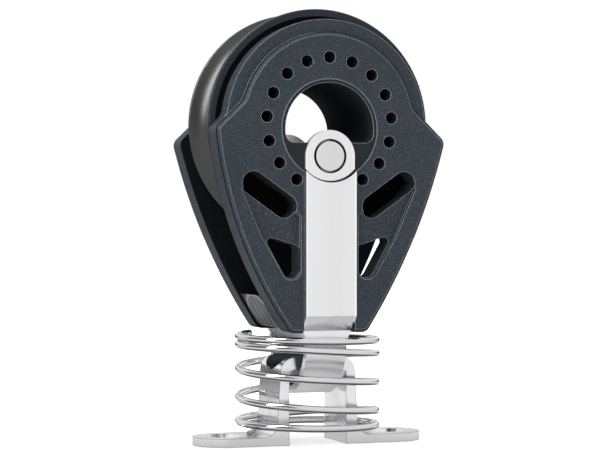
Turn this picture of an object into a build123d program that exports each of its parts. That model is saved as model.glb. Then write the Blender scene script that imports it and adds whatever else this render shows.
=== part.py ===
from build123d import *
import os
from math import atan, atan2, cos, degrees, pi, radians, sin, sqrt, tan

# Stand-up single block for rope. Millimetres, +Z up, feet on z = 0.
# The sheave turns about Y, the pad eye's two holes lie along X, the near cheek faces -Y.

# Sheave and its place
sheave_d = 40.0
sheave_w = 12.6
groove_depth = 3.7
wheel_wall = 2.4
rim_w = 0.8
rim_round = 0.25

# Ball bearing: one main row under the load, one side row against each cheek
ball_count = 23
row_step = 2.2
ball_fit = 0.06
race_depth = 0.5
ball_spacing = 0.17
side_ball_d = 1.6
side_ball_count = 20

# Cheeks
side_gap = 0.4
cheek_t = 5.2
ledge_t = 3.9
flange_shown = 2.1
ledge_w = 2.2
cheek_bevel = 0.6
cheek_bottom_z = 19.7
foot_reach = 15.8
shoulder_out = 1.4
shoulder_z = -2.9
shoulder_slope = 0.97
shoulder_round = 1.6
high_shoulder_out = 0.2
high_shoulder_z = -0.9
neck_blend = 3.0
flank_in = 6.0
flank_rise = 15.5
flank_low_x = 6.9
foot_round = 1.6

# Holes and openings of a cheek
race_lip = 1.3
bore_drop = 1.0
flush_hole_d = 2.1
flush_ring_gap = 2.65
flush_pitches = 17
flush_holes = 15
slot_half_w = 2.0
slot_below_ring = 2.9
slot_in_x = 7.9
slot_edge = 7.8
slot_rise = 4.0
pocket_depth = 0.9
pocket_edge_x = 5.2
pocket_drop = 1.6
pocket_edge = 5.6
pocket_mid_edge = 9.2
pocket_mid_rise = 16.4
pocket_low_x = 7.9
pocket_low_rise = 9.1
pocket_round = 1.5
window_edge = 9.5
window_out_rise = 16.9
window_in_rise = 14.8
window_low_x = 7.7
window_low_rise = 9.4
window_round = 0.8
window_low_round = 1.4

# Hub core
core_fit = 0.05
core_rim = 0.6
sill_over_rivet = 2.3
sill_round = 1.5

# Strap and hub rivet
strap_w = 9.1
strap_t = 1.3
tongue_proud = 0.2
joggle = 0.7
tongue_r = 4.45
joggle_r = 6.0
joggle_over_rivet = 1.6
rivet_seat = 4.04
rivet_r = 1.6
rivet_head_r = 2.6
rivet_ring = 0.2
rivet_head_t = 0.8
strap_fit = 0.05
bend_top_z = 22.6
bend_low_z = 20.0
loop_r = 10.5
loop_z = 19.1
loop_w = 7.2
loop_taper_top_z = 20.2
loop_taper_low_z = 18.4
tongue_tail = 2.0

# Head block between the cheeks
rope_gap = 11.3
head_inset = 0.5
peg_r = 1.0
peg_long = 2.0
peg_x = 4.6
peg_rise = 2.6

# Pad eye
eye_hole_spacing = 30.2
eye_hole_r = 2.1
eye_sink_r = 3.0
eye_w = 11.4
eye_t = 1.5
crown_t = 1.5
arch_half = 5.2
arch_r = 16.0
arch_fit = 1.5
leg_flare = 0.8
leg_round = 2.4
crown_round = 2.6
arch_corner = 1.4
lip_z = 15.2

# Spring
spring_wire = 1.3
spring_r = 12.1
spring_seat = 0.3
end_pitch = 1.4
top_end_turn = 470.0
low_end_turn = 400.0
active_turn = 930.0
top_end_angle = 130.0

# Worked out from the sizes above, heights below cheek level counted from the sheave's axle
side_ball_r = side_ball_d / 2
side_row_r = sheave_d / 2 - groove_depth - wheel_wall - side_ball_r
side_row_y = sheave_w / 2 + side_gap / 2
ball_row_r = side_row_r - row_step
ball_r = ball_row_r * sin(pi / ball_count) - ball_spacing / 2
core_race_r = ball_row_r - ball_r - ball_fit + race_depth
sheave_bore_r = ball_row_r + ball_r + ball_fit - race_depth
bore_r = core_race_r - race_lip
spigot_r = bore_r - core_fit
flush_ring_r = bore_r + flush_ring_gap
ledge_r = sheave_d / 2 - flange_shown
ring_face_r = ledge_r - ledge_w
cheek_in = sheave_w / 2 + side_gap
cheek_out = cheek_in + cheek_t
cheek_foot_z = -(sheave_d / 2 + foot_reach)
sheave_z = cheek_bottom_z - cheek_foot_z
shoulder_x = sheave_d / 2 + shoulder_out
high_shoulder_x = sheave_d / 2 + high_shoulder_out
flank_mid = (shoulder_x - flank_in, cheek_foot_z + flank_rise)
slot_in = (slot_in_x, -(flush_ring_r + slot_below_ring))
slot_out = (shoulder_x - slot_edge, slot_in[1] + slot_rise)
rivet_z = rivet_seat - bore_r - bore_drop
sill_z = rivet_z + sill_over_rivet
joggle_z = rivet_z + joggle_over_rivet
tongue_out = cheek_out + tongue_proud
tongue_in = tongue_out - strap_t
tongue_foot_z = rivet_z - tongue_r - tongue_tail
blade_out = tongue_out + joggle
blade_in = blade_out - strap_t
head_top_r = sheave_d / 2 + rope_gap
loop_in_r = loop_r - strap_t
arch_ceiling_z = loop_z - loop_in_r + arch_fit


def near_plane(depth):
    """The XZ plane facing -Y, this far in front of the middle, at the sheave's centre."""
    return Plane(origin=(0, -depth, sheave_z), x_dir=(1, 0, 0), z_dir=(0, -1, 0))


def slab(outline, depth_in, depth_out):
    """An XZ outline as a plate between two distances in front of the middle."""
    return extrude(near_plane(depth_in) * outline, amount=depth_out - depth_in)


def both_sides(outline):
    """A right-hand XZ outline and its mirror image."""
    return outline + mirror(outline, about=Plane.YZ)


def far_side(shape):
    """The same piece on the far side, turned half round the block's upright middle."""
    return Rot(0, 0, 180) * shape


def ring_groove(ring_r, tube_r, depth):
    """A torus about the sheave's axis: the track that a row of balls runs in."""
    profile = Plane.YZ * Pos(depth, ring_r) * Circle(tube_r)
    return Pos(0, 0, sheave_z) * revolve(profile, Axis.Y, 360)


# The sheave: a moulded wheel with a round rope groove and its three ball tracks
def make_sheave():
    half_w = sheave_w / 2
    outer_r = sheave_d / 2
    groove_half = half_w - rim_w
    bottom_r = outer_r - groove_depth
    edge = Polyline(
        (-groove_half, outer_r),
        (-half_w, outer_r),
        (-half_w, sheave_bore_r),
        (half_w, sheave_bore_r),
        (half_w, outer_r),
        (groove_half, outer_r),
    )
    groove = ThreePointArc((groove_half, outer_r), (0, bottom_r), (-groove_half, outer_r))
    profile = make_face(Plane.YZ * (edge + groove))
    wheel = Pos(0, 0, sheave_z) * revolve(profile, Axis.Y, 360)
    rims = [e for e in wheel.edges().filter_by(GeomType.CIRCLE) if abs(e.radius - outer_r) < 1e-3]
    wheel = fillet(rims, rim_round)
    wheel -= ring_groove(ball_row_r, ball_r + ball_fit, 0)
    for side in (-1, 1):
        wheel -= ring_groove(side_row_r, side_ball_r + ball_fit, side * side_row_y)
    return wheel


# The outline of a cheek's lower body, from the shoulders down to the foot
def half_body(out_x, out_z):
    """One side of the body, whose shoulder reaches this far out at this height."""
    top_x = ring_face_r * 0.5
    top_z = out_z + shoulder_slope * (out_x - top_x)
    top = Polyline((0, cheek_foot_z), (0, top_z), (top_x, top_z), (out_x, out_z))
    flank = ThreePointArc((out_x, out_z), flank_mid, (flank_low_x, cheek_foot_z))
    foot = Line((flank_low_x, cheek_foot_z), (0, cheek_foot_z))
    half = make_face(top + flank + foot)
    corners = half.vertices().filter_by_position(Axis.X, flank_low_x - 0.01, flank_low_x + 0.01)
    half = fillet(corners, foot_round)
    shoulder = half.vertices().filter_by_position(Axis.X, out_x - 0.01, out_x + 0.01)
    return fillet(shoulder, shoulder_round)


def body_outline():
    """Both sides: seen from outside, a cheek's left shoulder sits higher and nearer in."""
    high_side = mirror(half_body(high_shoulder_x, high_shoulder_z), about=Plane.YZ)
    return half_body(shoulder_x, shoulder_z) + high_side


def cheek_outline(disc_r):
    """The body with a round head of this radius, blended into the shoulders."""
    outline = body_outline() + Circle(disc_r)
    outline = Sketch() + outline.faces()
    joins = [
        v for v in outline.vertices()
        if abs(sqrt(v.X ** 2 + v.Y ** 2) - disc_r) < 0.01 and v.Y > shoulder_z
    ]
    return fillet(joins, neck_blend)


def slot_outline():
    angle = degrees(atan2(slot_out[1] - slot_in[1], slot_out[0] - slot_in[0]))
    run = sqrt((slot_out[0] - slot_in[0]) ** 2 + (slot_out[1] - slot_in[1]) ** 2)
    middle = ((slot_in[0] + slot_out[0]) / 2, (slot_in[1] + slot_out[1]) / 2)
    return Pos(*middle) * Rot(0, 0, angle) * SlotCenterToCenter(run, 2 * slot_half_w)


def pocket_outline():
    """The sunk panel below the slot, down to the foot of the window."""
    low_z = cheek_foot_z + pocket_low_rise
    corner = (pocket_edge_x, slot_in[1] - pocket_drop)
    top = (shoulder_x - pocket_edge, slot_out[1] - slot_half_w / 2)
    middle = (shoulder_x - pocket_mid_edge, cheek_foot_z + pocket_mid_rise)
    side = [slot_in, slot_out, top, middle, (pocket_low_x, low_z), (pocket_edge_x, low_z)]
    face = make_face(Polyline(corner, *side, corner))
    low = face.vertices().filter_by_position(Axis.Y, low_z - 0.1, low_z + 0.1)
    return fillet(low, pocket_round)


def window_outline():
    """The opening low in the sunk panel, through the whole cheek."""
    low_z = cheek_foot_z + window_low_rise
    out_z = cheek_foot_z + window_out_rise
    corner = (pocket_edge_x, cheek_foot_z + window_in_rise)
    side = [(shoulder_x - window_edge, out_z), (window_low_x, low_z), (pocket_edge_x, low_z)]
    face = make_face(Polyline(corner, *side, corner))
    low = face.vertices().filter_by_position(Axis.Y, low_z - 0.1, low_z + 0.1)
    face = fillet(low, window_low_round)
    top = face.vertices().filter_by_position(Axis.Y, corner[1] - 0.1, out_z + 0.1)
    return fillet(top, window_round)


def flush_ring():
    """The round holes that let water through to the balls, with a gap at the strap."""
    spots = Sketch()
    step = 360 / flush_pitches
    for i in range(flush_holes):
        turn = 90 + (i - (flush_holes - 1) / 2) * step
        at = (flush_ring_r * cos(radians(turn)), flush_ring_r * sin(radians(turn)))
        spots += Pos(*at) * Circle(flush_hole_d / 2)
    return spots


# The strap's side view: a band that runs down the cheek, bends in and loops under the arch
def strap_band(outer_shift):
    """The band's line at this distance inside its outer face, as points from the near top."""
    lean = atan((blade_out - loop_r) / (bend_top_z - bend_low_z))
    lift = outer_shift * tan(lean / 2)
    blade_y = blade_out - outer_shift
    arm_y = loop_r - outer_shift
    return blade_y, arm_y, bend_top_z + lift, bend_low_z + lift


def band_line(outer_shift, top_z):
    blade_y, arm_y, high_z, low_z = strap_band(outer_shift)
    near = Polyline((-blade_y, top_z), (-blade_y, high_z), (-arm_y, low_z), (-arm_y, loop_z))
    under = ThreePointArc((-arm_y, loop_z), (0, loop_z - arm_y), (arm_y, loop_z))
    far = Polyline((arm_y, loop_z), (arm_y, low_z), (blade_y, high_z), (blade_y, top_z))
    return near + under + far


def tongue_outline(grow):
    plate_z = (rivet_z + tongue_foot_z) / 2
    plate = Pos(0, plate_z) * Rectangle(2 * (tongue_r + grow), rivet_z - tongue_foot_z)
    return Pos(0, rivet_z) * Circle(tongue_r + grow) + plate


def blade_outline(grow):
    """The raised flat of the strap: its top edge curves round the rivet."""
    low_z = tongue_foot_z - tongue_tail
    plate_z = (low_z + joggle_z) / 2
    plate = Pos(0, plate_z) * Rectangle(strap_w + 2 * grow, joggle_z - low_z)
    return plate - Pos(0, joggle_z) * Circle(joggle_r - grow)


def crown_bowl():
    """All that the crown's dished underside holds, swung about the strap loop's centre."""
    reach = loop_z - arch_ceiling_z + arch_r
    edge_z = sqrt(arch_r ** 2 - arch_half ** 2) - reach
    line = Polyline((arch_half, edge_z), (arch_half, 0), (-arch_half, 0), (-arch_half, edge_z))
    arc = ThreePointArc((-arch_half, edge_z), (0, arch_r - reach), (arch_half, edge_z))
    profile = make_face(Plane.XZ * (line + arc))
    return Pos(0, 0, loop_z) * revolve(profile, Axis.X, 360)


def make_strap():
    top_z = sheave_z + joggle_z
    outer = band_line(0, top_z)
    inner = band_line(strap_t, top_z)
    caps = Line((-blade_out, top_z), (-blade_in, top_z)) + Line((blade_in, top_z), (blade_out, top_z))
    band = extrude(make_face(Plane.YZ * (outer + inner + caps)), amount=strap_w / 2, both=True)
    reach = blade_out + 1
    half_loop = loop_w / 2
    half_blade = strap_w / 2
    base_z = loop_z - loop_r - 1
    right = Polyline(
        (0, top_z), (half_blade, top_z), (half_blade, loop_taper_top_z),
        (half_loop, loop_taper_low_z), (half_loop, base_z), (0, base_z), (0, top_z),
    )
    front = both_sides(make_face(right))
    band &= extrude(Plane.XZ * front, amount=reach, both=True)
    round_top = Pos(0, 0, top_z) * Rot(90, 0, 0) * Cylinder(joggle_r, 2 * reach)
    band -= round_top
    tongue = slab(tongue_outline(0), tongue_in, tongue_out)
    hole = slab(Pos(0, rivet_z) * Circle(rivet_r + strap_fit), tongue_in, tongue_out)
    sink_r = rivet_head_r + rivet_ring
    sink = slab(Pos(0, rivet_z) * Circle(sink_r), tongue_out - rivet_head_t, tongue_out)
    tongue = tongue - hole - sink
    return band + tongue + far_side(tongue)


def strap_room():
    """What the near cheek and the hub core leave free for the strap."""
    tongue = slab(tongue_outline(strap_fit), tongue_in - strap_fit, cheek_out + 1)
    blade_y, arm_y, high_z, low_z = strap_band(strap_t + strap_fit)
    low = cheek_bottom_z - 1
    far_y = cheek_out + 1
    top_z = sheave_z + tongue_foot_z
    side = Polyline(
        (-blade_y, top_z), (-blade_y, high_z), (-arm_y, low_z),
        (-arm_y, low), (-far_y, low), (-far_y, top_z), (-blade_y, top_z),
    )
    half_w = strap_w / 2 + strap_fit
    trough = extrude(make_face(Plane.YZ * side), amount=half_w, both=True)
    blade = slab(blade_outline(strap_fit), blade_in - strap_fit, cheek_out + 1)
    return tongue + trough + blade


# A cheek: ring face and body raised over a lower rim, bevelled all round
def make_near_cheek():
    rim = slab(cheek_outline(ledge_r), cheek_in, cheek_in + ledge_t)
    face = slab(cheek_outline(ring_face_r), cheek_in, cheek_out)
    top_edges = face.faces().sort_by(Axis.Y)[0].edges()
    face = chamfer(top_edges, cheek_bevel)
    cheek = rim + face
    bore = slab(Pos(0, -bore_drop) * Circle(bore_r), cheek_in, cheek_out)
    flush = slab(flush_ring(), cheek_in, cheek_out)
    slots = slab(both_sides(slot_outline()), cheek_in, cheek_out)
    windows = slab(both_sides(window_outline()), cheek_in, cheek_out)
    pockets = slab(both_sides(pocket_outline()), cheek_out - pocket_depth, cheek_out)
    pegs = slab(
        both_sides(Pos(peg_x, cheek_foot_z + peg_rise) * Circle(peg_r + core_fit)),
        cheek_in,
        cheek_in + peg_long + core_fit,
    )
    cheek = cheek - bore - flush - slots - windows - pockets - pegs
    cheek -= strap_room()
    cheek -= ring_groove(side_row_r, side_ball_r + ball_fit, -side_row_y)
    return cheek


# The hub core: the fixed inner race, its spigots and the sill that the rivet goes through
def make_hub_core():
    race = Pos(0, 0, sheave_z) * Rot(90, 0, 0) * Cylinder(core_race_r, 2 * cheek_in)
    spigots = slab(Pos(0, -bore_drop) * Circle(spigot_r), -cheek_out, cheek_out)
    eye = Pos(0, -bore_drop) * Circle(spigot_r - core_rim)
    above = Pos(0, sill_z + sheave_d / 2) * Rectangle(sheave_d, sheave_d)
    eye = eye & above
    eye = fillet(eye.vertices(), sill_round)
    core = race + spigots
    core -= slab(eye, -cheek_out, cheek_out)
    core -= slab(Pos(0, rivet_z) * Circle(rivet_r + strap_fit), -cheek_out, cheek_out)
    core -= ring_groove(ball_row_r, ball_r + ball_fit, 0)
    room = strap_room()
    core = core - room - far_side(room)
    return core


# The head block: the moulded spacer between the cheeks' feet, located by four pegs
def make_head_block():
    half_w = cheek_in - core_fit
    outline = offset(cheek_outline(ring_face_r), -head_inset) - Circle(head_top_r)
    block = slab(outline, -half_w, half_w)
    pegs = both_sides(Pos(peg_x, cheek_foot_z + peg_rise) * Circle(peg_r))
    block += slab(pegs, -(cheek_in + peg_long), cheek_in + peg_long)
    return block


# The hub rivet: one pin with two flush heads
def make_rivet():
    shaft = slab(Pos(0, rivet_z) * Circle(rivet_r), -tongue_out, tongue_out)
    head = slab(Pos(0, rivet_z) * Circle(rivet_head_r), tongue_out - rivet_head_t, tongue_out)
    return shaft + head + far_side(head)


# The pad eye: one strip pressed into two round feet and a dished arch
def make_pad_eye():
    foot_end = eye_hole_spacing / 2
    leg_out = arch_half + eye_t
    crown_top = lip_z
    half_profile = Polyline(
        (0, 0), (0, crown_top), (leg_out, crown_top), (leg_out + leg_flare, eye_t),
        (foot_end, eye_t), (foot_end, 0), (0, 0),
    )
    solid_half = make_face(half_profile)
    shoulder = solid_half.vertices().filter_by_position(Axis.Y, crown_top - 0.01, crown_top + 0.01)
    shoulder = shoulder.sort_by(Axis.X)[-1:]
    solid_half = fillet(shoulder, crown_round)
    root = [
        v for v in solid_half.vertices()
        if abs(v.Y - eye_t) < 0.01 and v.X < foot_end - 0.01
    ]
    solid_half = fillet(root, leg_round)
    arch_side_z = arch_ceiling_z - arch_r + sqrt(arch_r ** 2 - arch_half ** 2)
    ceiling = ThreePointArc((-arch_half, arch_side_z), (0, arch_ceiling_z), (arch_half, arch_side_z))
    sides = Polyline((arch_half, arch_side_z), (arch_half, -1), (-arch_half, -1), (-arch_half, arch_side_z))
    opening = make_face(ceiling + sides)
    corners = opening.vertices().filter_by_position(Axis.Y, arch_side_z - 0.01, arch_side_z + 0.01)
    opening = fillet(corners, arch_corner)
    profile = both_sides(solid_half) - opening
    strip = extrude(Plane.XZ * profile, amount=eye_w / 2, both=True)
    under_crown = Pos(0, 0, lip_z / 2) * Box(2 * arch_half, eye_w + 2, lip_z)
    strip -= under_crown - crown_bowl()
    trough_r = loop_z - arch_ceiling_z - crown_t
    strip -= Pos(0, 0, loop_z) * Rot(0, 90, 0) * Cylinder(trough_r, 4 * arch_half)
    for side in (-1, 1):
        end = Pos(side * foot_end, 0, eye_t / 2) * Cylinder(eye_w / 2, eye_t)
        strip += end
        strip -= Pos(side * foot_end, 0, eye_t / 2) * Cylinder(eye_hole_r, eye_t + 1)
        sink_t = eye_sink_r - eye_hole_r
        sink = Cone(eye_hole_r, eye_sink_r, sink_t)
        strip -= Pos(side * foot_end, 0, eye_t - sink_t / 2) * sink
    return strip


# The stand-up spring: a left-hand coil with closed ends
def make_spring():
    wire_r = spring_wire / 2
    low_z = eye_t + spring_seat + wire_r
    top_z = cheek_bottom_z - spring_seat - wire_r
    low_rise = end_pitch * low_end_turn / 360
    top_rise = end_pitch * top_end_turn / 360
    active_rise = top_z - low_z - low_rise - top_rise
    turns = [
        (low_end_turn, low_rise),
        (active_turn, active_rise),
        (top_end_turn, top_rise),
    ]
    angle = top_end_angle + top_end_turn + active_turn + low_end_turn
    z = low_z
    edges = []
    for turn, rise in turns:
        coil = Pos(0, 0, z) * Rot(0, 0, angle) * Helix(rise * 360 / turn, rise, spring_r, lefthand=True)
        edges += coil.edges()
        angle -= turn
        z += rise
    path = Wire(edges)
    start = Plane(origin=path @ 0, z_dir=path % 0)
    return sweep(start * Circle(wire_r), path=path, is_frenet=True)


def ball_at(ring_r, angle, depth, radius):
    x = ring_r * cos(angle)
    z = sheave_z + ring_r * sin(angle)
    return Pos(x, depth, z) * Sphere(radius)


def side_balls(side):
    """One row of thrust balls, evenly spaced round the sheave's side."""
    balls = []
    for i in range(side_ball_count):
        balls.append(ball_at(side_row_r, 2 * pi * i / side_ball_count, side * side_row_y, side_ball_r))
    return Compound(children=balls)


os.makedirs("parts", exist_ok=True)
near_cheek = make_near_cheek()
nodes = {
    "near_cheek": near_cheek,
    "far_cheek": far_side(near_cheek),
    "hub_core": make_hub_core(),
    "head_block": make_head_block(),
    "sheave": make_sheave(),
    "strap": make_strap(),
    "hub_rivet": make_rivet(),
    "pad_eye": make_pad_eye(),
    "stand_up_spring": make_spring(),
    "near_side_balls": side_balls(-1),
    "far_side_balls": side_balls(1),
}
for i in range(ball_count):
    angle = pi / 2 + 2 * pi * i / ball_count
    nodes["main_ball_%02d" % (i + 1)] = ball_at(ball_row_r, angle, 0, ball_r)
for name, shape in nodes.items():
    export_step(shape, "parts/" + name + ".step")
print(len(nodes), "nodes")
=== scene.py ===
from math import cos, pi, radians, sin
import bpy
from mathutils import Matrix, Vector


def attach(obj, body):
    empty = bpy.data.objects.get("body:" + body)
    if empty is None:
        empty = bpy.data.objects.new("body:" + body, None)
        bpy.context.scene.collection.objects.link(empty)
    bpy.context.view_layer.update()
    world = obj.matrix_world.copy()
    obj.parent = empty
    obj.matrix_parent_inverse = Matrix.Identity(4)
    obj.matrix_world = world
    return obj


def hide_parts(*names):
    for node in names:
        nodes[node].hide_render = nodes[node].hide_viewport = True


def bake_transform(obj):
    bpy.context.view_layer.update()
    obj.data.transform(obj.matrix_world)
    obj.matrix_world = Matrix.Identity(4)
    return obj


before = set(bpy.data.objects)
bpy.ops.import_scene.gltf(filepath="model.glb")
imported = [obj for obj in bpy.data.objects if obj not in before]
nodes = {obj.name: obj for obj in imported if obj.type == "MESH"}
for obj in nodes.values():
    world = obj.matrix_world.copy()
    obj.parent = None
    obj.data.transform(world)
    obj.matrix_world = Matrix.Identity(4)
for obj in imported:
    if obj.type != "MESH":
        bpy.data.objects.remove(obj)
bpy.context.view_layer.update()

scene = bpy.context.scene
mm = 0.001

# Camera: a long lens at half the block's height, in front of the near cheek and to its left.
# The sheave's axle stands just right of the middle of the picture.
camera_turn = radians(-19.0)
camera_distance = 380 * mm
camera_height = 40 * mm
camera_tilt = radians(-0.29)
picture_width = 600
camera_data = bpy.data.cameras.new("photo_camera")
camera_data.lens = 129.6
camera_data.sensor_width = 36
camera_data.clip_start = 0.01
camera_data.shift_x = -7.2 / picture_width
camera = bpy.data.objects.new("photo_camera", camera_data)
scene.collection.objects.link(camera)
camera.location = (
    sin(camera_turn) * camera_distance,
    -cos(camera_turn) * camera_distance,
    camera_height,
)
camera.rotation_euler = (pi / 2 + camera_tilt, 0, camera_turn)
scene.camera = camera
scene.view_settings.view_transform = "Standard"


# Pad eye: one strip of stainless steel, pressed into two round feet and a dished arch,
# then mirror polished. Two countersunk screws hold it down. It carries everything else.
def new_material(name):
    material = bpy.data.materials.new(name)
    material.use_nodes = True
    return material, material.node_tree, material.node_tree.nodes["Principled BSDF"]


def add_node(tree, kind, place=(0, 0), **settings):
    node = tree.nodes.new(kind)
    node.location = place
    for key, value in settings.items():
        setattr(node, key, value)
    return node


def new_group(name, inputs, outputs):
    """An empty shader node group with float, colour or vector sockets."""
    group = bpy.data.node_groups.new(name, "ShaderNodeTree")
    for label, kind, default in inputs:
        socket = group.interface.new_socket(label, in_out="INPUT", socket_type=kind)
        socket.default_value = default
    for label, kind in outputs:
        group.interface.new_socket(label, in_out="OUTPUT", socket_type=kind)
    entry = add_node(group, "NodeGroupInput", (-900, 0))
    leave = add_node(group, "NodeGroupOutput", (900, 0))
    return group, entry, leave


def use_group(tree, group, place, **values):
    node = add_node(tree, "ShaderNodeGroup", place, node_tree=group)
    for label, value in values.items():
        node.inputs[label.replace("_", " ")].default_value = value
    return node


def blend_colour(tree, place, factor, first, second):
    """Mixes two colours; each argument is a socket or a plain value."""
    node = add_node(tree, "ShaderNodeMix", place, data_type="RGBA")
    # Inputs 0, 6 and 7 are the colour mix's factor and its two colours.
    for number, value in ((0, factor), (6, first), (7, second)):
        socket = node.inputs[number]
        if isinstance(value, bpy.types.NodeSocket):
            tree.links.new(value, socket)
        else:
            socket.default_value = value
    return node.outputs[2]


def map_range(tree, place, value, low, high, out_low, out_high):
    node = add_node(tree, "ShaderNodeMapRange", place)
    tree.links.new(value, node.inputs["Value"])
    limits = (("From Min", low), ("From Max", high), ("To Min", out_low), ("To Max", out_high))
    for label, limit in limits:
        if isinstance(limit, bpy.types.NodeSocket):
            tree.links.new(limit, node.inputs[label])
        else:
            node.inputs[label].default_value = limit
    return node.outputs["Result"]


COLOUR = "NodeSocketColor"
FLOAT = "NodeSocketFloat"
VECTOR = "NodeSocketVector"

# Polished steel: fine grinding streaks, faint smears where fingers touched it.
steel_group, entry, leave = new_group(
    "steel_polish",
    [
        ("Vector", VECTOR, (0, 0, 0)),
        ("Metal", COLOUR, (0.8, 0.8, 0.8, 1)),
        ("Streak Scale", FLOAT, 900.0),
        ("Smear Scale", FLOAT, 120.0),
        ("Smooth", FLOAT, 0.05),
        ("Rough", FLOAT, 0.2),
        ("Shade", FLOAT, 0.1),
    ],
    [("Colour", COLOUR), ("Roughness", FLOAT), ("Height", FLOAT)],
)
links = steel_group.links
streaks = add_node(steel_group, "ShaderNodeTexNoise", (-600, 200))
streaks.inputs["Detail"].default_value = 4
smears = add_node(steel_group, "ShaderNodeTexNoise", (-600, -150))
smears.inputs["Detail"].default_value = 3
links.new(entry.outputs["Vector"], streaks.inputs["Vector"])
links.new(entry.outputs["Vector"], smears.inputs["Vector"])
links.new(entry.outputs["Streak Scale"], streaks.inputs["Scale"])
links.new(entry.outputs["Smear Scale"], smears.inputs["Scale"])
smear_mask = map_range(steel_group, (-300, -150), smears.outputs["Fac"], 0.35, 0.7, 0.0, 1.0)
mixed = add_node(steel_group, "ShaderNodeMath", (-100, 0), operation="MULTIPLY_ADD")
links.new(streaks.outputs["Fac"], mixed.inputs[0])
mixed.inputs[1].default_value = 0.5
links.new(smear_mask, mixed.inputs[2])
steel_rough = map_range(
    steel_group, (200, -100), mixed.outputs[0], 0.1, 1.2,
    entry.outputs["Smooth"], entry.outputs["Rough"],
)
shade = add_node(steel_group, "ShaderNodeMath", (100, 200), operation="MULTIPLY")
links.new(mixed.outputs[0], shade.inputs[0])
links.new(entry.outputs["Shade"], shade.inputs[1])
steel_colour = blend_colour(
    steel_group, (400, 200), shade.outputs[0], entry.outputs["Metal"], (0.3, 0.31, 0.33, 1)
)
links.new(steel_colour, leave.inputs["Colour"])
links.new(steel_rough, leave.inputs["Roughness"])
links.new(streaks.outputs["Fac"], leave.inputs["Height"])


# Edge mask: where the rounded normal leaves the flat one lies an edge, for painted highlights
# and painted dark edge lines. The two limits are the cosines of the angle between both normals.
plain_face_cosine, full_edge_cosine = 0.99, 0.86
painted_edge_group, entry, leave = new_group(
    "rubbed_edges",
    [("Radius", FLOAT, 0.15 * mm)],
    [("Mask", FLOAT), ("Normal", VECTOR)],
)
links = painted_edge_group.links
rounded = add_node(painted_edge_group, "ShaderNodeBevel", (-600, 0), samples=6)
links.new(entry.outputs["Radius"], rounded.inputs["Radius"])
flat = add_node(painted_edge_group, "ShaderNodeNewGeometry", (-600, -250))
turned = add_node(painted_edge_group, "ShaderNodeVectorMath", (-350, -100), operation="DOT_PRODUCT")
links.new(rounded.outputs["Normal"], turned.inputs[0])
links.new(flat.outputs["Normal"], turned.inputs[1])
edge_share = map_range(
    painted_edge_group, (-100, -100), turned.outputs["Value"], plain_face_cosine, full_edge_cosine, 0.0, 1.0
)
links.new(edge_share, leave.inputs["Mask"])
links.new(rounded.outputs["Normal"], leave.inputs["Normal"])


def steel_material(name, metal, stretch, bump, **values):
    """Steel whose grinding streaks run along the axis that stretch leaves small."""
    material, tree, shader = new_material(name)
    place = add_node(tree, "ShaderNodeTexCoord", (-1200, 0))
    run = add_node(tree, "ShaderNodeMapping", (-1000, 0))
    run.inputs["Scale"].default_value = stretch
    tree.links.new(place.outputs["Object"], run.inputs["Vector"])
    polish = use_group(tree, steel_group, (-700, 0), **values)
    polish.inputs["Metal"].default_value = (*metal, 1)
    tree.links.new(run.outputs["Vector"], polish.inputs["Vector"])
    tree.links.new(polish.outputs["Colour"], shader.inputs["Base Color"])
    tree.links.new(polish.outputs["Roughness"], shader.inputs["Roughness"])
    relief = add_node(tree, "ShaderNodeBump", (-300, -300))
    relief.inputs["Strength"].default_value = bump
    relief.inputs["Distance"].default_value = 0.02 * mm
    tree.links.new(polish.outputs["Height"], relief.inputs["Height"])
    tree.links.new(relief.outputs["Normal"], shader.inputs["Normal"])
    shader.inputs["Metallic"].default_value = 1.0
    return material


def finish_node(name, material):
    """Gives a CAD node its finish."""
    piece = nodes[name]
    piece.data.materials.clear()
    piece.data.materials.append(material)


eye_steel = steel_material(
    "polished_pad_eye_steel", (0.9, 0.9, 0.91), (1, 1, 1), 0.15,
    Streak_Scale=1500.0, Smear_Scale=160.0, Smooth=0.12, Rough=0.24, Shade=0.12,
)
# The blanked edges get a thin dark line, a painted reflection of dark surroundings.
dark_edge_radius = 0.24 * mm
painted_dark_edge_tone = (0.13, 0.13, 0.135, 1)
tree = eye_steel.node_tree
shader = tree.nodes["Principled BSDF"]
polished = shader.inputs["Base Color"].links[0].from_socket
edges = use_group(tree, painted_edge_group, (-700, 400), Radius=dark_edge_radius)
tone = blend_colour(tree, (-100, 400), edges.outputs["Mask"], polished, painted_dark_edge_tone)
tree.links.new(tone, shader.inputs["Base Color"])
finish_node("pad_eye", eye_steel)

# Stand-up spring: bright left-hand coil of hard-drawn stainless wire with closed ends.
# It sits round the arch on the feet and holds the block upright. It is built in two halves.
wire_r = 0.65 * mm
coil_r = 12.1 * mm
spring_foot_z = 2.45 * mm
spring_top_z = 18.75 * mm
end_pitch = 1.4 * mm
low_turns = 400 / 360
middle_turns = 930 / 360
top_turns = 470 / 360
all_turns = low_turns + middle_turns + top_turns
middle_rise = spring_top_z - spring_foot_z - end_pitch * (low_turns + top_turns)
middle_pitch = middle_rise / middle_turns
spring_end_angle = radians(130)
half_turns = low_turns + middle_turns / 2
points_per_turn = 96
wire_sides = 24


def geometry_tree(name, inputs):
    """A Geometry Nodes tree with named float inputs, and its two end nodes."""
    tree = bpy.data.node_groups.new(name, "GeometryNodeTree")
    tree.interface.new_socket("Geometry", in_out="INPUT", socket_type="NodeSocketGeometry")
    for label, value in inputs:
        kind = "NodeSocketInt" if isinstance(value, int) else FLOAT
        socket = tree.interface.new_socket(label, in_out="INPUT", socket_type=kind)
        socket.default_value = value
    tree.interface.new_socket("Geometry", in_out="OUTPUT", socket_type="NodeSocketGeometry")
    entry = add_node(tree, "NodeGroupInput", (-1400, 0))
    leave = add_node(tree, "NodeGroupOutput", (1400, 0))
    return tree, entry, leave


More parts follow.
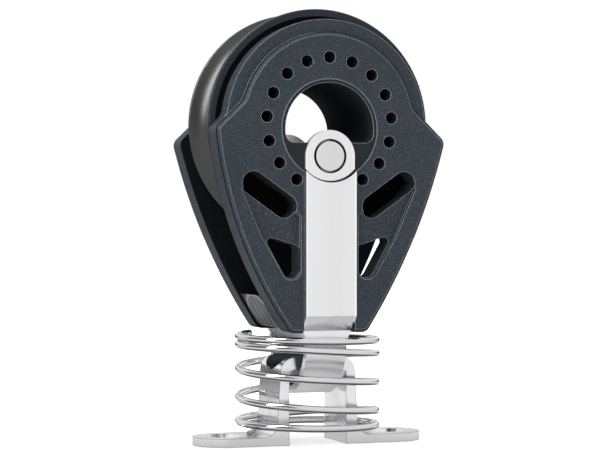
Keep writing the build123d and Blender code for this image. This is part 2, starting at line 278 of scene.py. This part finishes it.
def calculate(tree, place, operation, *values):
    """One Math node; each value is a socket or a number."""
    node = add_node(tree, "ShaderNodeMath", place, operation=operation)
    for socket, value in zip(node.inputs, values):
        if isinstance(value, bpy.types.NodeSocket):
            tree.links.new(value, socket)
        else:
            socket.default_value = value
    return node.outputs[0]


def close_tree(tree, geometry, leave, material):
    """Every tree ends in Realize Instances and Set Material."""
    real = add_node(tree, "GeometryNodeRealizeInstances", (1000, 0))
    paint = add_node(tree, "GeometryNodeSetMaterial", (1200, 0))
    paint.inputs["Material"].default_value = material
    tree.links.new(geometry, real.inputs[0])
    tree.links.new(real.outputs[0], paint.inputs[0])
    tree.links.new(paint.outputs[0], leave.inputs[0])


def grown_piece(name, tree, material, **values):
    """Runs a tree with these input values and keeps the result as a plain mesh."""
    seed = bpy.data.meshes.new(name + "_seed")
    piece = bpy.data.objects.new(name, seed)
    scene.collection.objects.link(piece)
    growth = piece.modifiers.new("growth", "NODES")
    growth.node_group = tree
    for item in tree.interface.items_tree:
        key = item.name.replace(" ", "_")
        if item.in_out == "INPUT" and key in values:
            growth[item.identifier] = values[key]
    bpy.context.view_layer.update()
    evaluated = piece.evaluated_get(bpy.context.evaluated_depsgraph_get())
    mesh = bpy.data.meshes.new_from_object(evaluated)
    mesh.name = name
    piece.modifiers.remove(growth)
    piece.data = mesh
    bpy.data.meshes.remove(seed)
    mesh.materials.clear()
    mesh.materials.append(material)
    mesh.shade_smooth()
    return piece


spring_steel = steel_material(
    "bright_spring_wire", (0.74, 0.74, 0.75), (1, 1, 1), 0.1,
    Streak_Scale=1800.0, Smear_Scale=140.0, Smooth=0.06, Rough=0.14, Shade=0.06,
)

# A dark line is painted along the wire's underside, a painted reflection of the floor below.
wire_tree = spring_steel.node_tree
shader = wire_tree.nodes["Principled BSDF"]
bright_wire = shader.inputs["Base Color"].links[0].from_socket
place = add_node(wire_tree, "ShaderNodeTexCoord", (-1000, 500))
axes = add_node(wire_tree, "ShaderNodeSeparateXYZ", (-800, 500))
wire_tree.links.new(place.outputs["Normal"], axes.inputs[0])
under = map_range(wire_tree, (-600, 600), axes.outputs["Z"], -0.32, -0.45, 0.0, 1.0)
above = map_range(wire_tree, (-600, 400), axes.outputs["Z"], -0.85, -0.72, 0.0, 1.0)
painted_underside_dark = calculate(wire_tree, (-400, 500), "MULTIPLY", under, above)
tone = blend_colour(wire_tree, (-100, 400), painted_underside_dark, bright_wire, (0.1, 0.1, 0.1, 1))
wire_tree.links.new(tone, shader.inputs["Base Color"])

tree, entry, leave = geometry_tree("coil_of_wire", [
    ("First Turn", 0.0), ("Last Turn", 1.0), ("Points", 100),
    ("Coil Radius", coil_r), ("Wire Radius", wire_r), ("Foot Height", spring_foot_z),
    ("End Pitch", end_pitch), ("Middle Pitch", middle_pitch),
    ("Low Turns", low_turns), ("Middle Turns", middle_turns), ("All Turns", all_turns),
    ("End Angle", spring_end_angle),
])
get = entry.outputs
line = add_node(tree, "GeometryNodeMeshLine", (-1100, 200), mode="OFFSET")
tree.links.new(get["Points"], line.inputs["Count"])
order = add_node(tree, "GeometryNodeInputIndex", (-1100, -100))
last = calculate(tree, (-1100, -250), "SUBTRACT", get["Points"], 1.0)
share = calculate(tree, (-900, -100), "DIVIDE", order.outputs[0], last)
span = calculate(tree, (-900, -250), "SUBTRACT", get["Last Turn"], get["First Turn"])
turn = calculate(tree, (-700, -100), "MULTIPLY_ADD", share, span, get["First Turn"])
low_part = calculate(tree, (-500, -100), "MINIMUM", turn, get["Low Turns"])
past_low = calculate(tree, (-500, -250), "SUBTRACT", turn, get["Low Turns"])
past_low = calculate(tree, (-350, -250), "MAXIMUM", past_low, 0.0)
middle_part = calculate(tree, (-200, -250), "MINIMUM", past_low, get["Middle Turns"])
past_middle = calculate(tree, (-200, -400), "SUBTRACT", past_low, get["Middle Turns"])
top_part = calculate(tree, (-50, -400), "MAXIMUM", past_middle, 0.0)
end_part = calculate(tree, (100, -100), "ADD", low_part, top_part)
height = calculate(
    tree, (250, -100), "MULTIPLY_ADD", end_part, get["End Pitch"], get["Foot Height"]
)
height = calculate(tree, (400, -100), "MULTIPLY_ADD", middle_part, get["Middle Pitch"], height)
rest = calculate(tree, (-500, 50), "SUBTRACT", get["All Turns"], turn)
angle = calculate(tree, (-350, 50), "MULTIPLY_ADD", rest, 2 * pi, get["End Angle"])
across = calculate(tree, (-200, 100), "COSINE", angle)
along = calculate(tree, (-200, -50), "SINE", angle)
across = calculate(tree, (-50, 100), "MULTIPLY", across, get["Coil Radius"])
along = calculate(tree, (-50, -50), "MULTIPLY", along, get["Coil Radius"])
spot = add_node(tree, "ShaderNodeCombineXYZ", (550, 0))
for socket, value in zip(spot.inputs, (across, along, height)):
    tree.links.new(value, socket)
bend = add_node(tree, "GeometryNodeSetPosition", (700, 200))
tree.links.new(line.outputs[0], bend.inputs["Geometry"])
tree.links.new(spot.outputs[0], bend.inputs["Position"])
curve = add_node(tree, "GeometryNodeMeshToCurve", (800, 200))
tree.links.new(bend.outputs[0], curve.inputs[0])
ring = add_node(tree, "GeometryNodeCurvePrimitiveCircle", (700, -200))
ring.inputs["Resolution"].default_value = wire_sides
tree.links.new(get["Wire Radius"], ring.inputs["Radius"])
tube = add_node(tree, "GeometryNodeCurveToMesh", (900, 100))
tree.links.new(curve.outputs[0], tube.inputs["Curve"])
tree.links.new(ring.outputs[0], tube.inputs["Profile Curve"])
tube.inputs["Fill Caps"].default_value = True
close_tree(tree, tube.outputs[0], leave, spring_steel)

halves = (
    ("spring_lower_half", 0.0, half_turns, "pad_eye", "spring"),
    ("spring_upper_half", half_turns, all_turns, "spring", "block"),
)
for name, first, last_turn, below, above in halves:
    half = grown_piece(
        name, tree, spring_steel,
        First_Turn=first, Last_Turn=last_turn,
        Points=int((last_turn - first) * points_per_turn),
    )
    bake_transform(half)
    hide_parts("stand_up_spring")

# Strap: a blanked stainless strip, brushed along its length, that runs down both cheeks,
# joggles over the hub rivet's seat and loops under the pad eye's arch. Painted shade darkens the
# ring round the rivet and the joggle's arc; the strip's two borders are a painted white
# highlight.
strap_steel = steel_material(
    "brushed_strap_steel", (0.9, 0.9, 0.91), (1, 1, 0.03), 0.12,
    Streak_Scale=5000.0, Smear_Scale=150.0, Smooth=0.2, Rough=0.32, Shade=0.05,
)


def ring_mask(tree, place, centre_z, radius, half_width):
    """1 on a circle about an axle along Y at this height, 0 elsewhere."""
    x, y = place
    object_place = add_node(tree, "ShaderNodeTexCoord", (x - 800, y))
    moved = add_node(tree, "ShaderNodeVectorMath", (x - 600, y), operation="SUBTRACT")
    moved.inputs[1].default_value = (0, 0, centre_z)
    tree.links.new(object_place.outputs["Object"], moved.inputs[0])
    level = add_node(tree, "ShaderNodeVectorMath", (x - 400, y), operation="MULTIPLY")
    level.inputs[1].default_value = (1, 0, 1)
    tree.links.new(moved.outputs[0], level.inputs[0])
    reach = add_node(tree, "ShaderNodeVectorMath", (x - 200, y), operation="LENGTH")
    tree.links.new(level.outputs[0], reach.inputs[0])
    return calculate(tree, place, "COMPARE", reach.outputs["Value"], radius, half_width)


def darken_ring(material, masks, dark):
    """Painted shade in the gaps: the colour goes dark where a mask is 1."""
    tree = material.node_tree
    shader = tree.nodes["Principled BSDF"]
    tone = shader.inputs["Base Color"].links[0].from_socket
    for number, mask in enumerate(masks):
        tone = blend_colour(tree, (0, 300 + 250 * number), mask, tone, dark)
    tree.links.new(tone, shader.inputs["Base Color"])


rivet_z = 49.9 * mm
joggle_z = 51.5 * mm
joggle_r = 5.98 * mm
rivet_seat_r = 2.8 * mm
border_start = 4.15 * mm
border_end = 4.3 * mm
painted_gap_shade = (0.03, 0.03, 0.035, 1)
strap_tree = strap_steel.node_tree
shader = strap_tree.nodes["Principled BSDF"]
brushed = shader.inputs["Base Color"].links[0].from_socket
place = add_node(strap_tree, "ShaderNodeTexCoord", (-1000, 1300))
axes = add_node(strap_tree, "ShaderNodeSeparateXYZ", (-800, 1300))
strap_tree.links.new(place.outputs["Object"], axes.inputs[0])
off_middle = calculate(strap_tree, (-600, 1300), "ABSOLUTE", axes.outputs["X"])
border_highlight = map_range(strap_tree, (-400, 1300), off_middle, border_start, border_end, 0.0, 1.0)
tone = blend_colour(strap_tree, (-200, 1200), border_highlight, brushed, (1.0, 1.0, 1.0, 1))
strap_tree.links.new(tone, shader.inputs["Base Color"])
darken_ring(
    strap_steel,
    [
        ring_mask(strap_tree, (-200, 500), rivet_z, rivet_seat_r, 0.14 * mm),
        ring_mask(strap_tree, (-200, 800), joggle_z, joggle_r, 0.15 * mm),
    ],
    painted_gap_shade,
)
finish_node("strap", strap_steel)

# Cheeks: a matching pair of glass-filled nylon mouldings, grey with a blue cast.
# Fine grain from the mould, and a painted highlight that lightens the edges a little.
moulding_group, entry, leave = new_group(
    "moulded_grain",
    [
        ("Vector", VECTOR, (0, 0, 0)),
        ("Body", COLOUR, (0.03, 0.03, 0.03, 1)),
        ("Fleck", COLOUR, (0.1, 0.1, 0.1, 1)),
        ("Grain Scale", FLOAT, 3500.0),
        ("Cloud Scale", FLOAT, 90.0),
        ("Fleck Share", FLOAT, 0.4),
        ("Smooth", FLOAT, 0.4),
        ("Rough", FLOAT, 0.6),
    ],
    [("Colour", COLOUR), ("Roughness", FLOAT), ("Height", FLOAT)],
)
links = moulding_group.links
grain = add_node(moulding_group, "ShaderNodeTexNoise", (-600, 200))
grain.inputs["Detail"].default_value = 3
cloud = add_node(moulding_group, "ShaderNodeTexNoise", (-600, -150))
cloud.inputs["Detail"].default_value = 4
for noise, label in ((grain, "Grain Scale"), (cloud, "Cloud Scale")):
    links.new(entry.outputs["Vector"], noise.inputs["Vector"])
    links.new(entry.outputs[label], noise.inputs["Scale"])
flecks = map_range(moulding_group, (-350, 200), grain.outputs["Fac"], 0.5, 0.72, 0.0, 1.0)
flecks = calculate(moulding_group, (-150, 200), "MULTIPLY", flecks, entry.outputs["Fleck Share"])
body = blend_colour(
    moulding_group, (50, 250), flecks, entry.outputs["Body"], entry.outputs["Fleck"]
)
mottle = map_range(moulding_group, (-350, -150), cloud.outputs["Fac"], 0.3, 0.7, 0.0, 0.3)
body = blend_colour(moulding_group, (300, 200), mottle, body, (0.012, 0.013, 0.015, 1))
rough = map_range(
    moulding_group, (300, -100), grain.outputs["Fac"], 0.3, 0.7,
    entry.outputs["Smooth"], entry.outputs["Rough"],
)
links.new(body, leave.inputs["Colour"])
links.new(rough, leave.inputs["Roughness"])
links.new(grain.outputs["Fac"], leave.inputs["Height"])


edge_highlight_tone = (0.46, 0.49, 0.52, 1)
edge_highlight_width = 0.15 * mm


def moulded_material(name, body, fleck, bump, specular, edge_highlight, **values):
    """Moulded plastic with soft edges; the edge highlight share paints them lighter."""
    material, tree, shader = new_material(name)
    place = add_node(tree, "ShaderNodeTexCoord", (-1200, 0))
    grain = use_group(tree, moulding_group, (-800, 0), **values)
    grain.inputs["Body"].default_value = (*body, 1)
    grain.inputs["Fleck"].default_value = (*fleck, 1)
    tree.links.new(place.outputs["Object"], grain.inputs["Vector"])
    edges = use_group(tree, painted_edge_group, (-800, -400), Radius=edge_highlight_width)
    share = calculate(tree, (-500, -200), "MULTIPLY", edges.outputs["Mask"], edge_highlight)
    tone = blend_colour(tree, (-300, 100), share, grain.outputs["Colour"], edge_highlight_tone)
    tree.links.new(tone, shader.inputs["Base Color"])
    tree.links.new(grain.outputs["Roughness"], shader.inputs["Roughness"])
    relief = add_node(tree, "ShaderNodeBump", (-300, -300))
    relief.inputs["Strength"].default_value = bump
    relief.inputs["Distance"].default_value = 0.03 * mm
    tree.links.new(grain.outputs["Height"], relief.inputs["Height"])
    tree.links.new(edges.outputs["Normal"], relief.inputs["Normal"])
    tree.links.new(relief.outputs["Normal"], shader.inputs["Normal"])
    shader.inputs["Specular IOR Level"].default_value = specular
    return material


cheek_nylon = moulded_material(
    "grained_cheek_nylon", (0.022, 0.03, 0.038), (0.11, 0.137, 0.165), 0.6, 0.0, 0.9,
    Grain_Scale=5200.0, Cloud_Scale=80.0, Fleck_Share=0.75, Smooth=0.42, Rough=0.62,
)
# Painted shade blackens their inner faces, and a thin line of painted shadow sits under the
# raised face's rim. Both are dull; the rest keeps a thin gloss.
painted_shade_black = (0.004, 0.004, 0.005, 1)
inner_start = 6.75 * mm
inner_end = 7.1 * mm
rim_step_y = 11.3 * mm
tree = cheek_nylon.node_tree
shader = tree.nodes["Principled BSDF"]
outer_tone = shader.inputs["Base Color"].links[0].from_socket
place = add_node(tree, "ShaderNodeTexCoord", (-1000, 500))
axes = add_node(tree, "ShaderNodeSeparateXYZ", (-800, 500))
tree.links.new(place.outputs["Object"], axes.inputs[0])
off_middle = calculate(tree, (-600, 500), "ABSOLUTE", axes.outputs["Y"])
painted_inner_shade = map_range(tree, (-400, 500), off_middle, inner_start, inner_end, 0.9, 0.0)
step = calculate(tree, (-400, 750), "COMPARE", off_middle, rim_step_y, 0.16 * mm)
step = calculate(tree, (-250, 750), "MULTIPLY", step, 0.8)
painted_inner_shade = calculate(tree, (-200, 500), "MAXIMUM", painted_inner_shade, step)
tone = blend_colour(tree, (-100, 400), painted_inner_shade, outer_tone, painted_shade_black)
tree.links.new(tone, shader.inputs["Base Color"])
gloss = map_range(tree, (-100, 200), painted_inner_shade, 0.0, 0.8, 0.4, 0.0)
tree.links.new(gloss, shader.inputs["Coat Weight"])
shader.inputs["Coat Roughness"].default_value = 0.5
finish_node("near_cheek", cheek_nylon)
finish_node("far_cheek", cheek_nylon)

# Head block: the grey moulded nylon spacer between the cheeks' feet. Its four pegs sit in
# the cheeks, and its dished top leaves room for the rope under the sheave.
head_nylon = moulded_material(
    "ribbed_head_nylon", (0.1, 0.104, 0.108), (0.22, 0.22, 0.22), 0.3, 0.2, 0.4,
    Grain_Scale=3000.0, Cloud_Scale=120.0, Fleck_Share=0.2, Smooth=0.4, Rough=0.6,
)
# Its ends get painted dark lines as the ribs' shade, under a painted highlight line on an arched
# ridge; above it, and on the dished top, painted shade makes it black.
ridge_half_width = 6.6 * mm
ridge_rise = 4.9 * mm
ridge_foot_z = 21.6 * mm
rib_pitch = 2.6 * mm
tree = head_nylon.node_tree
shader = tree.nodes["Principled BSDF"]
moulded = shader.inputs["Base Color"].links[0].from_socket
place = add_node(tree, "ShaderNodeTexCoord", (-2000, 700))
axes = add_node(tree, "ShaderNodeSeparateXYZ", (-1800, 700))
tree.links.new(place.outputs["Object"], axes.inputs[0])
share = calculate(tree, (-1600, 700), "DIVIDE", axes.outputs["Y"], ridge_half_width)
share = calculate(tree, (-1450, 700), "MULTIPLY", share, share)
share = calculate(tree, (-1300, 700), "SUBTRACT", 1.0, share)
share = calculate(tree, (-1150, 700), "MAXIMUM", share, 0.0)
arch = calculate(tree, (-1000, 700), "SQRT", share)
arch = calculate(tree, (-850, 700), "MULTIPLY_ADD", arch, ridge_rise, ridge_foot_z)
over = calculate(tree, (-700, 700), "SUBTRACT", axes.outputs["Z"], arch)
black = map_range(tree, (-500, 800), over, -0.1 * mm, 0.1 * mm, 0.0, 1.0)
lie = add_node(tree, "ShaderNodeSeparateXYZ", (-1800, 1300))
tree.links.new(place.outputs["Normal"], lie.inputs[0])
top_face = map_range(tree, (-700, 1300), lie.outputs["Z"], 0.3, 0.5, 0.0, 1.0)
black = calculate(tree, (-300, 800), "MAXIMUM", black, top_face)
ridge_highlight = calculate(tree, (-500, 600), "COMPARE", over, -0.45 * mm, 0.3 * mm)
turns = calculate(tree, (-1600, 1000), "MULTIPLY", axes.outputs["Y"], 2 * pi / rib_pitch)
rib_shade_lines = calculate(tree, (-1400, 1000), "SINE", turns)
rib_shade_lines = map_range(tree, (-1200, 1000), rib_shade_lines, 0.0, 0.8, 0.0, 0.8)
tone = blend_colour(tree, (-300, 1000), rib_shade_lines, moulded, (0.03, 0.032, 0.034, 1))
tone = blend_colour(tree, (-100, 900), ridge_highlight, tone, (0.2, 0.2, 0.21, 1))
tone = blend_colour(tree, (100, 800), black, tone, (0.008, 0.008, 0.009, 1))
tree.links.new(tone, shader.inputs["Base Color"])
finish_node("head_block", head_nylon)

# Hub core: the black moulded inner race with its two spigots and the sill for the rivet.
# The spigots sit in the cheeks' bores, and it stays still while the sheave turns round it.
# Its edges get a strong painted highlight.
core_nylon = moulded_material(
    "black_core_nylon", (0.022, 0.027, 0.03), (0.05, 0.05, 0.05), 0.25, 0.0, 0.9,
    Grain_Scale=3600.0, Cloud_Scale=100.0, Fleck_Share=0.2, Smooth=0.5, Rough=0.7,
)
finish_node("hub_core", core_nylon)

# Sheave: a moulded acetal wheel, smooth and glossy where the rope runs.
# It turns round the hub core on its balls, with a little play to each cheek.
sheave_resin = moulded_material(
    "satin_sheave_resin", (0.012, 0.0125, 0.013), (0.03, 0.03, 0.03), 0.05, 0.0, 0.6,
    Grain_Scale=3000.0, Cloud_Scale=70.0, Fleck_Share=0.15, Smooth=0.26, Rough=0.34,
)
# Its side faces are dull: painted shade blacks them inside, they are a little bluer on the
# flanges, and the rims stay lighter as a painted highlight.
axle_z = 55.5 * mm
flange_r = 19.6 * mm
flange_half_width = 0.85 * mm
flange_tone = (0.03, 0.037, 0.045, 1)
side_start = 6.15 * mm
side_end = 6.28 * mm
tree = sheave_resin.node_tree
shader = tree.nodes["Principled BSDF"]
groove_tone = shader.inputs["Base Color"].links[0].from_socket
place = add_node(tree, "ShaderNodeTexCoord", (-1400, 700))
axes = add_node(tree, "ShaderNodeSeparateXYZ", (-1200, 500))
tree.links.new(place.outputs["Object"], axes.inputs[0])
off_middle = calculate(tree, (-1000, 500), "ABSOLUTE", axes.outputs["Y"])
side_face = map_range(tree, (-800, 500), off_middle, side_start, side_end, 0.0, 1.0)
rims = use_group(tree, painted_edge_group, (-800, 250), Radius=edge_highlight_width)
side_face = calculate(tree, (-600, 400), "SUBTRACT", side_face, rims.outputs["Mask"])
flange = ring_mask(tree, (-600, 800), axle_z, flange_r, flange_half_width)
side_tone = blend_colour(tree, (-400, 700), flange, painted_shade_black, flange_tone)
tone = blend_colour(tree, (-100, 400), side_face, groove_tone, side_tone)
tree.links.new(tone, shader.inputs["Base Color"])
gloss = map_range(tree, (-100, 200), side_face, 0.0, 1.0, 1.0, 0.0)
tree.links.new(gloss, shader.inputs["Coat Weight"])
shader.inputs["Coat Roughness"].default_value = 0.3
shader.inputs["Coat IOR"].default_value = 1.65
finish_node("sheave", sheave_resin)

# Balls: white resin, one row under the load and one row against each cheek.
# They roll in the core's and the sheave's tracks.
main_ball_r = 1.4 * mm
main_row_r = 10.9 * mm
side_ball_r = 0.8 * mm
side_row_r = 13.1 * mm
side_row_y = 6.5 * mm
side_ball_count = 20
ball_segments = 28
ball_rings = 16
ball_resin, ball_tree, shader = new_material("polished_ball_resin")
place = add_node(ball_tree, "ShaderNodeTexCoord", (-900, 0))
haze = add_node(ball_tree, "ShaderNodeTexNoise", (-700, 0))
haze.inputs["Scale"].default_value = 600
ball_tree.links.new(place.outputs["Object"], haze.inputs["Vector"])
tone = blend_colour(
    ball_tree, (-400, 100), haze.outputs["Fac"], (0.8, 0.79, 0.74, 1), (0.66, 0.65, 0.6, 1)
)
gloss = map_range(ball_tree, (-400, -150), haze.outputs["Fac"], 0.3, 0.7, 0.18, 0.34)
ball_tree.links.new(tone, shader.inputs["Base Color"])
ball_tree.links.new(gloss, shader.inputs["Roughness"])

tree, entry, leave = geometry_tree("row_of_balls", [
    ("Count", side_ball_count), ("Row Radius", side_row_r), ("Ball Radius", side_ball_r),
    ("Depth", 0.0), ("Axle Height", axle_z), ("First Angle", 0.0),
])
get = entry.outputs
spots = add_node(tree, "GeometryNodeMeshLine", (-1000, 200), mode="OFFSET")
tree.links.new(get["Count"], spots.inputs["Count"])
order = add_node(tree, "GeometryNodeInputIndex", (-1000, -100))
step = calculate(tree, (-1000, -250), "DIVIDE", 2 * pi, get["Count"])
angle = calculate(tree, (-800, -100), "MULTIPLY_ADD", order.outputs[0], step, get["First Angle"])
across = calculate(tree, (-600, -100), "COSINE", angle)
upward = calculate(tree, (-600, -250), "SINE", angle)
across = calculate(tree, (-400, -100), "MULTIPLY", across, get["Row Radius"])
upward = calculate(
    tree, (-400, -250), "MULTIPLY_ADD", upward, get["Row Radius"], get["Axle Height"]
)
spot = add_node(tree, "ShaderNodeCombineXYZ", (-200, -100))
for socket, value in zip(spot.inputs, (across, get["Depth"], upward)):
    tree.links.new(value, socket)
lay = add_node(tree, "GeometryNodeSetPosition", (0, 200))
tree.links.new(spots.outputs[0], lay.inputs["Geometry"])
tree.links.new(spot.outputs[0], lay.inputs["Position"])
ball = add_node(tree, "GeometryNodeMeshUVSphere", (0, -200))
ball.inputs["Segments"].default_value = ball_segments
ball.inputs["Rings"].default_value = ball_rings
tree.links.new(get["Ball Radius"], ball.inputs["Radius"])
fill = add_node(tree, "GeometryNodeInstanceOnPoints", (300, 100))
tree.links.new(lay.outputs[0], fill.inputs["Points"])
tree.links.new(ball.outputs[0], fill.inputs["Instance"])
close_tree(tree, fill.outputs[0], leave, ball_resin)

main_balls = [name for name in nodes if name.startswith("main_ball")]
rows = (
    ("main_row_of_balls", main_row_r, main_ball_r, 0.0, len(main_balls), pi / 2,
     "main_ball_row", main_balls),
    ("near_row_of_balls", side_row_r, side_ball_r, -side_row_y, side_ball_count, 0.0,
     "near_ball_row", ["near_side_balls"]),
    ("far_row_of_balls", side_row_r, side_ball_r, side_row_y, side_ball_count, 0.0,
     "far_ball_row", ["far_side_balls"]),
)
for name, row_r, ball_r, depth, count, first_angle, carrier, stood_for in rows:
    row = grown_piece(
        name, tree, ball_resin,
        Count=count, Row_Radius=row_r, Ball_Radius=ball_r,
        Depth=depth, First_Angle=first_angle,
    )
    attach(row, carrier)
    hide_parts(*stood_for)

# Hub rivet: a stainless pin through strap, sill and both cheeks.
# Its two heads are faced off flush with the strap, and painted shade rings them.
rivet_ring_r = 2.62 * mm
rivet_steel = steel_material(
    "faced_rivet_steel", (0.78, 0.78, 0.78), (1, 1, 1), 0.12,
    Streak_Scale=2500.0, Smear_Scale=260.0, Smooth=0.18, Rough=0.3, Shade=0.08,
)
darken_ring(
    rivet_steel,
    [ring_mask(rivet_steel.node_tree, (-200, 500), rivet_z, rivet_ring_r, 0.1 * mm)],
    painted_gap_shade,
)
finish_node("hub_rivet", rivet_steel)

# Deck and studio: a pale table that fades into the backdrop, lit by three soft boxes.
# A tall strip at the left lights too, and shows as the highlight in the rope groove.
floor_size = 3.0
floor_mesh = bpy.data.meshes.new("studio_floor")
floor_mesh.from_pydata(
    [(x * floor_size, y * floor_size, 0) for x, y in ((-1, -1), (1, -1), (1, 1), (-1, 1))],
    [], [(0, 1, 2, 3)],
)
floor = bpy.data.objects.new("studio_floor", floor_mesh)
scene.collection.objects.link(floor)
floor.location.z = -0.2 * mm
floor_paint, tree, shader = new_material("studio_floor_paper")
shader.inputs["Base Color"].default_value = (0.8, 0.8, 0.8, 1)
shader.inputs["Roughness"].default_value = 0.9
shader.inputs["Specular IOR Level"].default_value = 0.1
glow = add_node(tree, "ShaderNodeEmission", (0, -300))
glow.inputs["Color"].default_value = (1, 1, 1, 1)
ray = add_node(tree, "ShaderNodeLightPath", (-400, 300))
place = add_node(tree, "ShaderNodeTexCoord", (-800, 0))
away = add_node(tree, "ShaderNodeVectorMath", (-600, 0), operation="LENGTH")
tree.links.new(place.outputs["Object"], away.inputs[0])
fade = map_range(tree, (-200, 0), away.outputs["Value"], 0.06, 0.35, 0.55, 1.0)
direct = calculate(tree, (0, 0), "MULTIPLY", ray.outputs["Is Camera Ray"], fade)
# In mirrors the table is white, but duller under the piece and dark beyond it.
around = map_range(tree, (-400, 700), away.outputs["Value"], 0.02, 0.04, 0.65, 1.0)
beyond = add_node(tree, "ShaderNodeVectorMath", (-600, 900), operation="DOT_PRODUCT")
tree.links.new(place.outputs["Object"], beyond.inputs[0])
beyond.inputs[1].default_value = (-sin(camera_turn), cos(camera_turn), 0)
before = map_range(tree, (-400, 900), beyond.outputs["Value"], 0.1, 0.22, 1.0, 0.0)
white = calculate(tree, (0, 700), "MULTIPLY", around, before)
white = map_range(tree, (150, 700), white, 0.0, 1.0, 0.03, 0.9)
tree.links.new(direct, glow.inputs["Strength"])
both = add_node(tree, "ShaderNodeAddShader", (300, 0))
tree.links.new(shader.outputs[0], both.inputs[0])
tree.links.new(glow.outputs[0], both.inputs[1])
mirror = add_node(tree, "ShaderNodeEmission", (300, 400))
tree.links.new(white, mirror.inputs["Strength"])
choose = add_node(tree, "ShaderNodeMixShader", (500, 100))
tree.links.new(ray.outputs["Is Glossy Ray"], choose.inputs["Fac"])
tree.links.new(both.outputs[0], choose.inputs[1])
tree.links.new(mirror.outputs[0], choose.inputs[2])
tree.links.new(choose.outputs[0], tree.nodes["Material Output"].inputs["Surface"])
floor_mesh.materials.append(floor_paint)

world = bpy.data.worlds.new("studio")
scene.world = world
world.use_nodes = True
tree = world.node_tree
background = tree.nodes["Background"]
ray = add_node(tree, "ShaderNodeLightPath", (-600, 500))
# What polished pieces mirror: a white tent with dark openings low behind, high behind and
# to the left.
place = add_node(tree, "ShaderNodeTexCoord", (-1400, 0))
axes = add_node(tree, "ShaderNodeSeparateXYZ", (-1200, 200))
tree.links.new(place.outputs["Generated"], axes.inputs[0])


def tent_opening(place_y, direction, wide, narrow):
    """1 towards this direction, falling to 0 between two angles from it."""
    facing = add_node(tree, "ShaderNodeVectorMath", (-1000, place_y), operation="DOT_PRODUCT")
    tree.links.new(place.outputs["Generated"], facing.inputs[0])
    facing.inputs[1].default_value = Vector(direction).normalized()
    edges = (cos(radians(wide)), cos(radians(narrow)))
    return map_range(tree, (-800, place_y), facing.outputs["Value"], *edges, 0.0, 1.0)


low = map_range(tree, (-1000, 200), axes.outputs["Z"], 0.03, 0.09, 1.0, 0.0)
behind = tent_opening(-200, (-sin(camera_turn), cos(camera_turn), 0), 48, 32)
behind = calculate(tree, (-600, 0), "MULTIPLY", low, behind)
high = tent_opening(-400, (-sin(camera_turn), cos(camera_turn), 0.6), 24, 14)
high = calculate(tree, (-600, -400), "MULTIPLY", high, 0.6)
left = tent_opening(-600, (-1, -0.1, 0.1), 58, 42)
left = calculate(tree, (-600, -600), "MULTIPLY", left, 0.85)
opening = calculate(tree, (-450, -100), "MAXIMUM", behind, high)
opening = calculate(tree, (-450, -300), "MAXIMUM", opening, left)
mirrored = map_range(tree, (-300, 0), opening, 0.0, 1.0, 0.93, 0.04)
strength = map_range(tree, (-200, 100), ray.outputs["Is Glossy Ray"], 0.0, 1.0, 0.45, mirrored)
strength = map_range(tree, (0, 300), ray.outputs["Is Camera Ray"], 0.0, 1.0, strength, 1.0)
tree.links.new(strength, background.inputs["Strength"])
background.inputs["Color"].default_value = (1, 1, 1, 1)


def soft_box(name, place, aim, width, height, power, in_mirrors):
    """A soft lamp; only a strip meant as a highlight shows in polished surfaces."""
    data = bpy.data.lights.new(name, "AREA")
    data.shape = "RECTANGLE"
    data.size = width
    data.size_y = height
    data.energy = power
    lamp = bpy.data.objects.new(name, data)
    scene.collection.objects.link(lamp)
    lamp.location = place
    lamp.rotation_euler = (Vector(aim) - Vector(place)).to_track_quat("-Z", "Y").to_euler()
    lamp.visible_glossy = in_mirrors


middle = (0, 0, 0.04)
soft_box("key_box", (-0.3, -0.62, 0.5), middle, 0.35, 0.35, 2.3, False)
soft_box("top_box", (0.1, 0.0, 0.7), middle, 0.4, 0.4, 1.4, False)
soft_box("right_box", (0.6, -0.4, 0.25), middle, 0.25, 0.4, 1.2, False)
soft_box("left_strip", (-0.5, -0.09, 0.42), middle, 0.14, 0.6, 3.4, True)
